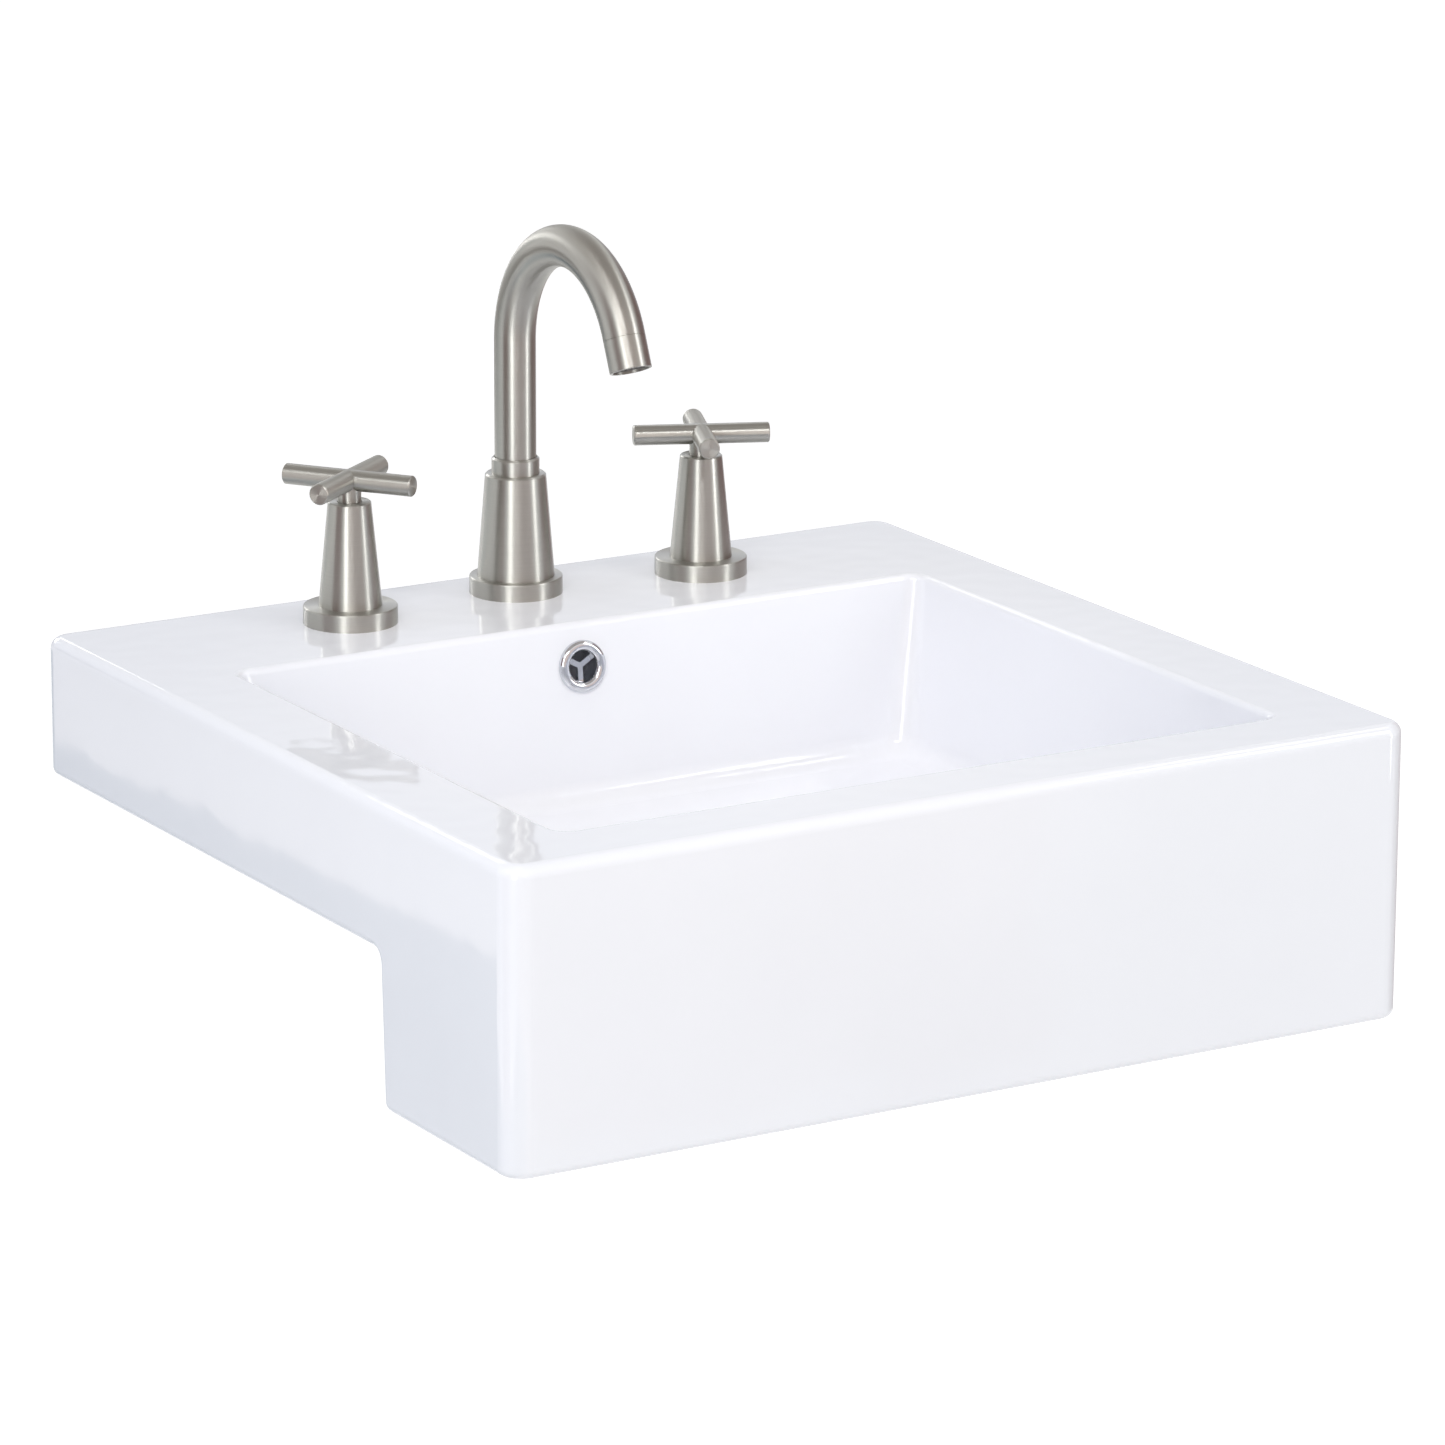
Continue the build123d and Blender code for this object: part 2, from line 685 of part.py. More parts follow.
with BuildPart(tube_end.offset(core_foot)) as aerator_core:
    Cylinder(core_diameter / 2, core_height, align=STANDING)
    Cylinder(core_hole / 2, core_height, align=STANDING, mode=Mode.SUBTRACT)
    for ring in range(1, core_rings + 1):
        with PolarLocations(ring * core_hole_spacing, core_ring_holes * ring):
            Cylinder(core_hole / 2, core_height, align=STANDING, mode=Mode.SUBTRACT)
keep(aerator_core, "aerator_core")

# Hose tee: joins the two valve outlets under the spout
tee_top = tee_socket - shank_drop
with BuildPart(spout_seat.offset(tee_top)) as hose_tee:
    Cylinder(tee_diameter / 2, tee_height, align=HANGING)
    with Locations((0, 0, -tee_nipple_drop)):
        Cylinder(outlet_diameter / 2, 2 * tee_reach, rotation=(0, 90, 0))
    Cylinder(shank_diameter / 2, tee_socket, align=HANGING, mode=Mode.SUBTRACT)
    Cylinder(shank_bore / 2, tee_nipple_drop, align=HANGING, mode=Mode.SUBTRACT)
    with Locations((0, 0, -tee_nipple_drop)):
        Cylinder(outlet_bore / 2, 2 * tee_reach, rotation=(0, 90, 0), mode=Mode.SUBTRACT)
keep(hose_tee, "hose_tee")

# Drain: a slotted body clamped through the china, with a push latch and a stopper
drain_seat = Plane((0, 0, drain_z))
drain_gasket_z = boss_z - drain_z - drain_gasket_height
slip_washer_z = drain_gasket_z - slip_washer_thickness
drain_nut_z = slip_washer_z - drain_nut_height
window_z = duct_end_z - drain_z
hub_foot_z = -hub_drop - hub_height
latch_top = hub_foot_z + latch_height

with BuildPart(drain_seat) as drain_body:
    Cylinder(drain_flange / 2, drain_flange_height, align=STANDING)
    fillet(drain_body.edges().sort_by(Axis.Z)[-1], drain_flange_edge)
    Cylinder(drain_thread / 2, drain_length, align=HANGING)
    Cylinder(drain_bore / 2, 2 * drain_length, mode=Mode.SUBTRACT)
    with Locations((0, 0, window_z)):
        for side in (0, 90):
            Box(
                window_width,
                2 * drain_thread,
                window_height,
                rotation=(0, 0, side),
                mode=Mode.SUBTRACT,
            )
    with BuildSketch(drain_seat.offset(hub_foot_z)):
        Circle(hub_diameter / 2)
        with PolarLocations(drain_bore / 4, spoke_count):
            Rectangle(drain_bore / 2 + spoke_bite, spoke_width)
        Circle(latch_diameter / 2, mode=Mode.SUBTRACT)
    extrude(amount=hub_height)
keep(drain_body, "drain_body")

with BuildPart(drain_seat.offset(-drain_length)) as tailpiece:
    Cylinder(tail_diameter / 2, tail_length, align=HANGING)
    Cylinder(drain_bore / 2, tail_thread, align=STANDING)
    Cylinder(tail_diameter / 2 - tail_wall, 2 * (tail_length + tail_thread), mode=Mode.SUBTRACT)
keep(tailpiece, "tailpiece")

drain_seal = washer(drain_seat, -seal_thickness, drain_flange, drain_thread, seal_thickness)
keep(drain_seal, "drain_seal")

with BuildPart(drain_seat.offset(drain_gasket_z)) as drain_gasket:
    Cone(drain_gasket_diameter / 2, drain_hole / 2 + drain_gasket_lip, drain_gasket_height, align=STANDING)
    Cylinder(drain_thread / 2, drain_gasket_height, align=STANDING, mode=Mode.SUBTRACT)
keep(drain_gasket, "drain_gasket")

slip_washer = washer(
    drain_seat, slip_washer_z, drain_gasket_diameter, drain_thread, slip_washer_thickness
)
keep(slip_washer, "drain_slip_washer")
keep(hex_nut(drain_seat, drain_nut_z, drain_nut_flats, drain_thread, drain_nut_height), "drain_nut")

with BuildPart(drain_seat.offset(hub_foot_z)) as latch_housing:
    Cylinder(latch_diameter / 2, latch_height, align=STANDING)
    with Locations((0, 0, hub_height)):
        Cylinder(latch_head / 2, latch_head_height, align=STANDING)
    with Locations((0, 0, latch_height)):
        Cylinder(
            plunger_diameter / 2 + turning_gap,
            plunger_grip + seat_gap,
            align=HANGING,
            mode=Mode.SUBTRACT,
        )
keep(latch_housing, "latch_housing")

stopper_foot = drain_flange_height + stopper_seal_thickness
stopper_seal = washer(
    drain_seat, drain_flange_height, stopper_seal_outer, stopper_seal_inner, stopper_seal_thickness
)
keep(stopper_seal, "stopper_seal")

with BuildPart(drain_seat) as plunger:
    with Locations((0, 0, latch_top - plunger_grip)):
        Cylinder(plunger_diameter / 2, stopper_foot - latch_top + plunger_grip, align=STANDING)
keep(plunger, "stopper_plunger")

stopper_z = drain_z + stopper_foot
with BuildPart() as stopper_cap:
    with BuildSketch(Plane.XZ):
        with BuildLine():
            Polyline(
                (0, stopper_z),
                (plunger_diameter / 2, stopper_z),
                (plunger_diameter / 2, stopper_z - stopper_boss_height),
                (stopper_boss / 2, stopper_z - stopper_boss_height),
                (stopper_boss / 2, stopper_z),
                (stopper_diameter / 2, stopper_z),
                (stopper_diameter / 2, stopper_z + stopper_edge),
            )
            crown_radius = (stopper_diameter**2 / 4 + stopper_crown**2) / (2 * stopper_crown)
            RadiusArc(
                (stopper_diameter / 2, stopper_z + stopper_edge),
                (0, stopper_z + stopper_edge + stopper_crown),
                -crown_radius,
            )
            Line((0, stopper_z + stopper_edge + stopper_crown), (0, stopper_z))
        make_face()
    revolve(axis=Axis.Z)
keep(stopper_cap, "stopper_cap")
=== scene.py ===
# %% [markdown]
# # A semi-recessed wash basin with a three-hole faucet
# The basin is one casting of glazed china. Its slab lies on a counter and its deep front block
# hangs before it. The faucet is brass with a brushed nickel skin: two cross handles on cones, and
# a gooseneck spout between them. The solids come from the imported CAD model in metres. This lesson
# gives them their finishes, rebuilds the few pieces whose finish needs its own surface
# coordinates, and sets up the studio.

# %% Load the frame
import json
import math

import bmesh
import bpy
from mathutils import Matrix, Vector


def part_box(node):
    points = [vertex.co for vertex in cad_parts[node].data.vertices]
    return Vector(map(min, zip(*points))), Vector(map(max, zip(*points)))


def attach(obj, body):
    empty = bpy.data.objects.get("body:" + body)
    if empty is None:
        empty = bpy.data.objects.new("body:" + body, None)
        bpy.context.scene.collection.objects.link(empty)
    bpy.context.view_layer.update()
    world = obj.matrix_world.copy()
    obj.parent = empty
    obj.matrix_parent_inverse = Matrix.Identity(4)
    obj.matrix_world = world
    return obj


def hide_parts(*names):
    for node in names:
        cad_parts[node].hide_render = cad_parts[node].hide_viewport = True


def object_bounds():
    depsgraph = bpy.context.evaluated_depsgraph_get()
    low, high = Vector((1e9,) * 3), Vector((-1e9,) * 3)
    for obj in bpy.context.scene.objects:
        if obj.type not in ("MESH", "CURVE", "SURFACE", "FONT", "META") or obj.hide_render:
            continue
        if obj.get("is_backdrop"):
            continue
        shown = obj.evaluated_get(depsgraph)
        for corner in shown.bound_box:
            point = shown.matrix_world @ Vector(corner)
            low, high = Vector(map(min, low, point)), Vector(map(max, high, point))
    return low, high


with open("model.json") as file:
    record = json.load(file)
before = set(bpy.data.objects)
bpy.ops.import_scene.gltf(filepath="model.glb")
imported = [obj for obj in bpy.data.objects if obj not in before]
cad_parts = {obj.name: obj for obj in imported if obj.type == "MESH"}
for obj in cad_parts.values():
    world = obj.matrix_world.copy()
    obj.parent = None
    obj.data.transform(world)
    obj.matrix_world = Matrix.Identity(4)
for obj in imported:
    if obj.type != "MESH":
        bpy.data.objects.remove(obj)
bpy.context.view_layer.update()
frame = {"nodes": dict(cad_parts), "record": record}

MM = 0.001
nodes = frame["nodes"]

# %% [markdown]
# ## Helpers for every finish
# Colours are written as sRGB hex codes, as a paint chart gives them. Shaders want linear light, so
# one function converts them with the numbers of the sRGB standard. A node tree is long to write by
# hand, so one more function adds a node, sets it and links it.

# %% Colour and node helpers
def colour(code):
    """Turn an sRGB hex code into the linear colour that a shader socket takes."""
    channels = [int(code[i:i + 2], 16) / 255 for i in (0, 2, 4)]
    linear = [c / 12.92 if c <= 0.04045 else ((c + 0.055) / 1.055) ** 2.4 for c in channels]
    return (*linear, 1.0)


def add(tree, kind, inputs=None, **settings):
    """Add a shader node, set its properties, and give each named input a value or a link."""
    made = tree.nodes.new("ShaderNode" + kind)
    for name, value in settings.items():
        setattr(made, name, value)
    for name, value in (inputs or {}).items():
        socket = next(s for s in made.inputs if s.enabled and name in (s.name, s.identifier))
        if isinstance(value, bpy.types.Node):
            value = next(s for s in value.outputs if s.enabled)
        if isinstance(value, bpy.types.NodeSocket):
            tree.links.new(value, socket)
        else:
            socket.default_value = value
    return made


def new_material(name):
    """Start a material with an empty node tree."""
    made = bpy.data.materials.new(name)
    made.use_nodes = True
    made.node_tree.nodes.clear()
    return made, made.node_tree


print("half grey in linear light:", round(colour("808080")[0], 3))

# %% [markdown]
# ## Vitreous china
# Vitreous china is clay fired with a white zircon glaze. The glaze is a thin skin of glass, so it
# mirrors the room at a low angle and is white below that. It could be a plain white shader, but a
# real glaze is never flat: it flowed when it was hot. So a long swell bends the reflections, and a
# fine orange peel breaks their edges. On the level rim and its rounded edges the glaze couldn't
# run off and set in short waves, while the walls stayed smoother. The white itself drifts a
# little.

# %% Vitreous china
swell_size = 70 * MM
swell_height = 0.3 * MM
ripple_size = 15 * MM
ripple_height = 0.13 * MM
peel_size = 6 * MM  # real orange peel is near 2 mm; it is drawn coarser so that it shows
peel_height = 0.004 * MM
cloud_size = 120 * MM
wall_facing, rim_facing = 0.3, 0.5  # how far a face looks up where walls end and the rim starts
wall_share, rim_share = 0.25, 1.6  # how much of the short waves the walls and the rim keep

# Glass over white gives the eye a soft white, with small sharp highlights that waver a little.
china, tree = new_material("vitreous_china_glaze")
place = add(tree, "TexCoord").outputs["Object"]
clouds = add(tree, "TexNoise", {"Vector": place, "Scale": 1 / cloud_size, "Detail": 3.0})
glaze = add(tree, "Mix", {"Factor": clouds, "A": colour("EFF0F5"), "B": colour("F4F5FA")},
            data_type="RGBA")
swell = add(tree, "TexNoise", {"Vector": place, "Scale": 1 / swell_size, "Detail": 1.0})
peel = add(tree, "TexNoise", {"Vector": place, "Scale": 1 / peel_size, "Detail": 2.0})
ripple = add(tree, "TexNoise", {"Vector": place, "Scale": 1 / ripple_size, "Detail": 0.0})
normal = add(tree, "NewGeometry").outputs["True Normal"]
facing = add(tree, "SeparateXYZ", {"Vector": normal}).outputs["Z"]
share = add(tree, "MapRange", {
    "Value": facing, "From Min": wall_facing, "From Max": rim_facing,
    "To Min": wall_share, "To Max": rim_share,
})
swell_bump = add(tree, "Bump", {"Height": swell, "Distance": swell_height})
ripple_bump = add(tree, "Bump", {
    "Height": ripple, "Distance": ripple_height, "Strength": share, "Normal": swell_bump,
})
peel_bump = add(tree, "Bump", {"Height": peel, "Distance": peel_height, "Normal": ripple_bump})
print("waves per 100 mm of rim:", round(100 * MM / ripple_size))

# %% [markdown]
# ## The bare foot
# Glaze would stick the casting to the kiln's shelf, so the faces that it stood on were wiped and
# stay bare and matt. They could be given a material of their own, but the solid comes with one
# slot. So the shader finds those faces itself: they look straight down, at the height of the ledge
# or of the block.

# %% The bare foot
grog_size = 0.8 * MM  # real clay grain is near 0.2 mm; it is drawn coarser so that it shows
ledge_level = 0.0
block_level = -76 * MM
foot_reach = 0.3 * MM
foot_facing = -0.97
glaze_roughness, bisque_roughness = 0.06, 0.85
glaze_ior = 1.52

# Bare clay gives the eye a dull, warm white without any highlight.
grog = add(tree, "TexNoise", {"Vector": place, "Scale": 1 / grog_size, "Detail": 3.0})
bisque = add(tree, "Mix", {"Factor": grog, "A": colour("DCD6CA"), "B": colour("EBE6DC")},
             data_type="RGBA")
height = add(tree, "SeparateXYZ", {"Vector": place}).outputs["Z"]
on_ledge, on_block = [
    add(tree, "Math", {"Value": height, "Value_001": level, "Value_002": foot_reach},
        operation="COMPARE")
    for level in (ledge_level, block_level)
]
standing = add(tree, "Math", {"Value": on_ledge, "Value_001": on_block}, operation="MAXIMUM")
down = add(tree, "Math", {"Value": facing, "Value_001": foot_facing}, operation="LESS_THAN")
foot = add(tree, "Math", {"Value": standing, "Value_001": down}, operation="MULTIPLY")
body = add(tree, "Mix", {"Factor": foot, "A": glaze, "B": bisque}, data_type="RGBA")
gloss = add(tree, "MapRange",
            {"Value": foot, "To Min": glaze_roughness, "To Max": bisque_roughness})
skin = add(tree, "BsdfPrincipled",
           {"Base Color": body, "Normal": peel_bump, "Roughness": gloss, "IOR": glaze_ior})
add(tree, "OutputMaterial", {"Surface": skin})
print("china nodes:", len(tree.nodes))

# %% [markdown]
# ## Brushed nickel
# The faucet's brass is plated with nickel and then brushed with a fine abrasive belt while it
# turns, so its scratches run round each piece. The eye sees narrow bright streaks along the piece,
# because the scratches spread light across themselves only. An anisotropic shader gives those
# streaks, and a stretched noise gives the hairlines. Upright pieces take both from their own
# vertical axis. The bent spout and the handle bars can't, so those pieces are rebuilt below with a
# UV map named brush, which runs along them in U.

# %% Brushed nickel
hairline = 0.3 * MM  # real hairlines are near 0.1 mm; they are drawn coarser so that they show
hairline_length = 25 * MM
scratch_depth = 0.01 * MM
handling_size = 18 * MM
handling = 0.02  # roughness that hands have added or polished away
brush_roughness = (0.33, 0.4)
streak = 0.88  # anisotropy: at 0 a highlight is round, towards 1 it is a long streak
quarter_turn = 0.25


def brushed_nickel(name, drawn):
    """Make the nickel for pieces with a brush map, or for upright pieces that turned about Z."""
    made, tree = new_material(name)
    across, along = 1 / hairline, 1 / hairline_length
    spots = add(tree, "TexCoord").outputs["Object"]
    # Streaks follow the tangent. The map's runs along the piece, the radial one has to be turned.
    if drawn:
        place = add(tree, "UVMap", uv_map="brush")
        scale = (across, along, 1.0)
        tangent = add(tree, "Tangent", direction_type="UV_MAP", uv_map="brush")
        turn = 0.0
    else:
        place = spots
        scale = (along, along, across)
        tangent = add(tree, "Tangent", direction_type="RADIAL", axis="Z")
        turn = quarter_turn
    stretch = add(tree, "Mapping", {"Vector": place, "Scale": scale})
    hairs = add(tree, "TexNoise",
                {"Vector": stretch, "Scale": 1.0, "Detail": 3.0, "Roughness": 0.6})
    handled = add(tree, "TexNoise", {"Vector": spots, "Scale": 1 / handling_size})
    tone = add(tree, "Mix", {"Factor": hairs, "A": colour("A8A7A2"), "B": colour("B5B4AE")},
               data_type="RGBA")
    brushed = add(tree, "MapRange",
                  {"Value": hairs, "To Min": brush_roughness[0], "To Max": brush_roughness[1]})
    worn = add(tree, "MapRange", {"Value": handled, "To Min": -handling, "To Max": handling})
    gloss = add(tree, "Math", {"Value": brushed, "Value_001": worn}, operation="ADD")
    scratch = add(tree, "Bump", {"Height": hairs, "Strength": 0.1, "Distance": scratch_depth})
    skin = add(tree, "BsdfPrincipled", {
        "Base Color": tone, "Metallic": 1.0, "Roughness": gloss, "Normal": scratch,
        "Anisotropic": streak, "Anisotropic Rotation": turn, "Tangent": tangent,
    })
    add(tree, "OutputMaterial", {"Surface": skin})
    return made


# Brushed nickel gives the eye a soft, slightly warm grey with bright streaks between dark sides.
nickel_turned = brushed_nickel("brushed_nickel_turned", drawn=False)
nickel_drawn = brushed_nickel("brushed_nickel_drawn", drawn=True)
print("hairlines across 10 mm:", round(10 * MM / hairline))

# %% [markdown]
# ## Screw threads
# The hidden fittings are screwed together, so their ends carry threads. They could be cut as real
# helices, but they sit under the deck and are only a few pixels apart. Ridges in the finish are
# enough: a wave along the piece's axis, kept to the stretches where the real piece is threaded.

# %% Thread ridges
thread_pitch = 1.8 * MM
ridge_unit = 1.0  # the ridges are heights in metres already, so a bump takes them as they are


def thread_ridges(tree, place, stretches):
    """Return the height of thread ridges. A stretch is an axis, its middle and half its length."""
    parts = add(tree, "SeparateXYZ", {"Vector": place})
    total = None
    for axis, middle, half in stretches:
        reach = parts.outputs[axis]
        if axis != "Z":  # left and right mirror each other, so one stretch serves both
            reach = add(tree, "Math", {"Value": reach}, operation="ABSOLUTE")
        inside = add(tree, "Math", {"Value": reach, "Value_001": middle, "Value_002": half},
                     operation="COMPARE")
        ridge = add(tree, "Math", {"Value": reach, "Value_001": thread_pitch / 2},
                    operation="PINGPONG")
        part = add(tree, "Math", {"Value": ridge, "Value_001": inside}, operation="MULTIPLY")
        if total is not None:
            part = add(tree, "Math", {"Value": total, "Value_001": part}, operation="ADD")
        total = part
    return total


print("thread ridges in 10 mm:", round(10 * MM / thread_pitch, 1))

# %% [markdown]
# ## Polished chrome
# The overflow ring, the drain's flange and its stopper are brass with mirror chrome. Chrome is a
# cool grey metal with almost no roughness, and dried water leaves a faint film that dulls it in
# patches. The drain's body carries the thread for its nut, so it has a second version of the
# finish with ridges.

# %% Polished chrome
film_size = 12 * MM
clean_roughness, film_roughness = 0.03, 0.11
drain_thread = [("Z", -80 * MM, 18 * MM)]


def polished_chrome(name, stretches=()):
    """Make mirror chrome with a faint film of dried water, and ridges where it is threaded."""
    made, tree = new_material(name)
    place = add(tree, "TexCoord").outputs["Object"]
    film = add(tree, "TexNoise", {"Vector": place, "Scale": 1 / film_size, "Detail": 4.0})
    tone = add(tree, "Mix", {"Factor": film, "A": colour("CFD1D6"), "B": colour("D9DADD")},
               data_type="RGBA")
    gloss = add(tree, "MapRange",
                {"Value": film, "To Min": clean_roughness, "To Max": film_roughness})
    surface = {"Base Color": tone, "Metallic": 1.0, "Roughness": gloss}
    if stretches:
        ridges = thread_ridges(tree, place, stretches)
        surface["Normal"] = add(tree, "Bump", {"Height": ridges, "Distance": ridge_unit})
    skin = add(tree, "BsdfPrincipled", surface)
    add(tree, "OutputMaterial", {"Surface": skin})
    return made


# Chrome gives the eye a hard mirror, with near black beside near white and a little haze.
chrome = polished_chrome("polished_chrome")
chrome_threaded = polished_chrome("polished_chrome_threaded", drain_thread)
print("chrome roughness:", clean_roughness, "to", film_roughness)

# %% [markdown]
# ## Machined brass
# Valve bodies, shanks, nuts and the tee stay as the lathe left them: yellow brass with fine
# turning rings, a little dulled by air. Brass is a metal, so its colour is in its reflection. The
# rings could be modelled, but a noise that is squeezed along the axis looks the same and costs
# nothing.

# %% Machined brass
turning_ring = 0.6 * MM  # real rings are near 0.15 mm; they are drawn coarser so that they show
turning_length = 25 * MM
turning_depth = 0.03 * MM
tarnish_size = 9 * MM
brass_roughness = (0.26, 0.42)
valve_threads = [
    ("Z", -13.5 * MM, 8.0 * MM), ("Z", 37 * MM, 8.0 * MM), ("X", 76 * MM, 8.0 * MM),
]
tee_threads = [("X", 23.5 * MM, 6.0 * MM)]
shank_thread = [("Z", 35 * MM, 10 * MM)]


def machined_brass(name, stretches=()):
    """Make turned brass, with ridges where the piece is threaded."""
    made, tree = new_material(name)
    place = add(tree, "TexCoord").outputs["Object"]
    squeeze = (1 / turning_length, 1 / turning_length, 1 / turning_ring)
    stretch = add(tree, "Mapping", {"Vector": place, "Scale": squeeze})
    rings = add(tree, "TexNoise", {"Vector": stretch, "Scale": 1.0, "Detail": 2.0})
    tarnish = add(tree, "TexNoise", {"Vector": place, "Scale": 1 / tarnish_size, "Detail": 4.0})
    tone = add(tree, "Mix", {"Factor": tarnish, "A": colour("AD8E58"), "B": colour("C8AC74")},
               data_type="RGBA")
    gloss = add(tree, "MapRange",
                {"Value": tarnish, "To Min": brass_roughness[0], "To Max": brass_roughness[1]})
    relief = add(tree, "Bump", {"Height": rings, "Strength": 0.3, "Distance": turning_depth})
    if stretches:
        ridges = thread_ridges(tree, place, stretches)
        relief = add(tree, "Bump", {"Height": ridges, "Distance": ridge_unit, "Normal": relief})
    skin = add(tree, "BsdfPrincipled",
               {"Base Color": tone, "Metallic": 1.0, "Roughness": gloss, "Normal": relief})
    add(tree, "OutputMaterial", {"Surface": skin})
    return made


# Turned brass gives the eye a yellow sheen that breaks into fine rings, duller in patches.
brass = machined_brass("machined_brass")
brass_valve = machined_brass("machined_brass_valve", valve_threads)
brass_tee = machined_brass("machined_brass_tee", tee_threads)
brass_shank = machined_brass("machined_brass_shank", shank_thread)
print("turning rings in 10 mm:", round(10 * MM / turning_ring))

# %% [markdown]
# ## Small parts: rubber, steel, acetal and alumina
# Gaskets are moulded black rubber, matt with a fine grain. Washers and screws are stainless steel,
# rolled to a satin. The aerator's core and the drain's latch are acetal, a slightly waxy plastic.
# The valve discs are sintered alumina, an off-white ceramic that is lapped smooth. Each is a short
# tree of the same kind, so one function makes them from two tones, two roughness values, a grain
# size and a grain depth. The real grains are a few hundredths of a millimetre wide, and all of
# them are drawn coarser so that they show.

# %% Small parts
def small_part(name, tones, roughness, grain, depth, metallic=0.0, ior=1.5):
    """Make a plain material with a fine grain in its tone, its gloss and its surface."""
    made, tree = new_material(name)
    place = add(tree, "TexCoord").outputs["Object"]
    speckle = add(tree, "TexNoise", {"Vector": place, "Scale": 1 / grain, "Detail": 3.0})
    tone = add(tree, "Mix", {"Factor": speckle, "A": colour(tones[0]), "B": colour(tones[1])},
               data_type="RGBA")
    gloss = add(tree, "MapRange",
                {"Value": speckle, "To Min": roughness[0], "To Max": roughness[1]})
    relief = add(tree, "Bump", {"Height": speckle, "Distance": depth})
    skin = add(tree, "BsdfPrincipled", {
        "Base Color": tone, "Roughness": gloss, "Normal": relief, "Metallic": metallic, "IOR": ior,
    })
    add(tree, "OutputMaterial", {"Surface": skin})
    return made


# Moulded rubber gives the eye a deep black with a broad, dull sheen.
rubber = small_part("moulded_rubber", ("1B1B1C", "29292A"), (0.6, 0.75),
                    grain=0.8 * MM, depth=0.03 * MM, ior=1.52)
# Satin steel gives it an even grey gleam without a clear reflection.
steel = small_part("satin_stainless_steel", ("A3A4A6", "B9BABC"), (0.25, 0.38),
                   grain=0.7 * MM, depth=0.01 * MM, metallic=1.0)
# Acetal gives it a milky, waxy white. The grey copy, for the aerator's core, is painted shade that
# keeps the spout's mouth dark.
acetal = small_part("white_acetal", ("E3E1DB", "EFEDE8"), (0.35, 0.5),
                    grain=1.5 * MM, depth=0.01 * MM, ior=1.48)
mouth_shade_acetal = small_part("grey_acetal", ("55524F", "66625E"), (0.4, 0.55),
                   grain=1.5 * MM, depth=0.01 * MM, ior=1.48)
# Lapped alumina gives it an off-white with a hard, even shine.
alumina = small_part("lapped_alumina", ("E6E0D0", "F1ECDF"), (0.15, 0.25),
                     grain=0.6 * MM, depth=0.004 * MM, ior=1.77)
print("small parts:", [made.name for made in (rubber, steel, acetal, mouth_shade_acetal, alumina)])

# %% [markdown]
# ## Which piece gets which finish
# Each CAD piece names the material slot that it is made of, so one table from slot to finish
# dresses nearly all of them. The threaded pieces and the aerator's core are the exceptions, and a
# second table holds those. The core's white plastic is swapped there for grey acetal, as painted
# shade that keeps the spout's mouth dark.

# %% Finishes for the CAD slots
finish_for = {
    "vitreous_china": china, "brushed_nickel": nickel_turned, "polished_chrome": chrome,
    "raw_brass": brass, "black_rubber": rubber, "stainless_steel": steel, "white_plastic": acetal,
    "disc_ceramic": alumina,
}
finish_of_node = {
    "drain_body": chrome_threaded, "hot_valve_body": brass_valve, "cold_valve_body": brass_valve,
    # the aerator's core is grey as painted shade, to keep the spout's mouth dark
    "hose_tee": brass_tee, "spout_shank": brass_shank, "aerator_core": mouth_shade_acetal,
}
used = set()
for row in frame["record"]["subparts"]:
    finish = finish_of_node.get(row["node"], finish_for[row["material_slot"]])
    data = nodes[row["node"]].data
    data.materials.clear()
    data.materials.append(finish)
    used.add(finish.name)
print("finishes in use:", len(used))

# %% [markdown]
# ## The spout, the aerator and the handles
# The spout is one tube, bent on a mandrel. It could keep its CAD surface, but the brushing runs
# round the tube wherever the tube goes, and only a UV map can follow a bend. So rings are strung
# along the same centre line and joined, and the map counts real metres along the tube and around
# it. The aerator and the handle bars are rings too.

# %% Rings joined into a skin
ring_steps = 72
sharp_angle = math.radians(25)


def skin_of_rings(name, rows, closed):
    """Join rings into a skin. A ring is a centre, a side, an up and a radius: zero is a pole."""
    work = bmesh.new()
    brush = work.loops.layers.uv.new("brush")
    widest = max(row[3] for row in rows)
    rings, along = [], [0.0]
    for centre, side, up, radius in rows:
        angles = [2 * math.pi * k / ring_steps for k in range(ring_steps if radius else 1)]
        ring = [work.verts.new(centre + radius * (math.cos(t) * side + math.sin(t) * up))
                for t in angles]
        rings.append(ring if radius else ring * ring_steps)
    count = len(rows) if closed else len(rows) - 1  # closed joins the last ring to the first
    for i in range(count):
        here, there = rings[i], rings[(i + 1) % len(rows)]
        along.append(along[-1] + (here[0].co - there[0].co).length)
        for k in range(ring_steps):
            m = (k + 1) % ring_steps
            corners = {here[k]: (i, k), here[m]: (i, k + 1),
                       there[m]: (i + 1, k + 1), there[k]: (i + 1, k)}
            face = work.faces.new(corners)
            face.smooth = True
            for loop in face.loops:
                row, step = corners[loop.vert]
                loop[brush].uv = (along[row], 2 * math.pi * step / ring_steps * widest)
    bmesh.ops.recalc_face_normals(work, faces=work.faces)
    data = bpy.data.meshes.new(name)
    work.to_mesh(data)
    work.free()
    data.set_sharp_from_angle(angle=sharp_angle)
    made = bpy.data.objects.new(name, data)
    bpy.context.scene.collection.objects.link(made)
    return made


def turned_rows(origin, axis, profile):
    """Give the rings of a turned piece: profile holds radius and height pairs along the axis."""
    side = axis.orthogonal().normalized()
    up = axis.cross(side)
    return [(origin + axis * height, side, up, radius) for radius, height in profile]


print("degrees between the points of a ring:", 360 / ring_steps)

